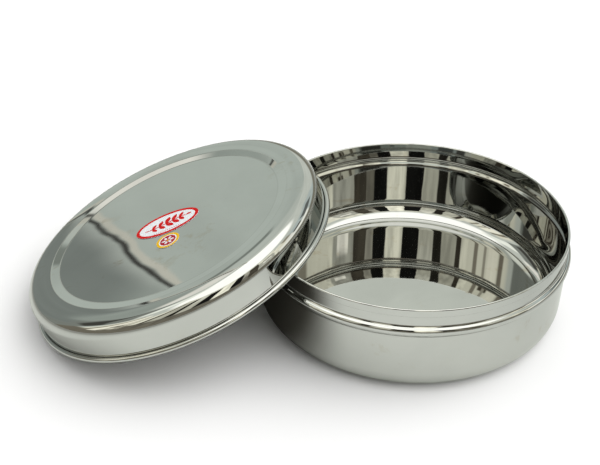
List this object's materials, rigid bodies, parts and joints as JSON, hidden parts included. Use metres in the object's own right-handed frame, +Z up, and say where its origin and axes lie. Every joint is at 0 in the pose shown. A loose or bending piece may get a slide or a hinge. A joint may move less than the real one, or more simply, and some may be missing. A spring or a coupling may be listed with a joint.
{
  "type": "spice box",
  "caption": "Flat round stainless steel spice box with a beaded rim, open, its loose curled-edge lid leaning on the rim.",
  "frame": {"origin": "centre of the box's base, on the surface that it stands on", "axes": "+Z up along the box's turning axis; the lid leans on the box from the -X side; XZ is the mirror plane of the steel pieces"},
  "size_m": [0.2996, 0.1756, 0.0768],
  "materials": {
    "box_steel": "mirror-polished stainless sheet with fine hairlines and smudges",
    "lid_steel": "mirror-polished stainless sheet, a little duller on the panel",
    "label_print": "printed vinyl sticker, satin, red border on white",
    "badge_print": "printed vinyl sticker, satin, yellow ring round a dark red middle"
  },
  "bodies": {
    "box": {"box_body": "box_steel"},
    "lid": {"lid_shell": "lid_steel", "oval_label": "label_print", "round_badge": "badge_print"}
  },
  "joints": [
    {"name": "lid_lift", "type": "slide", "parent": "box", "child": "lid", "axis": [0, 0, 1], "range_m": [0, 0.12]}
  ]
}
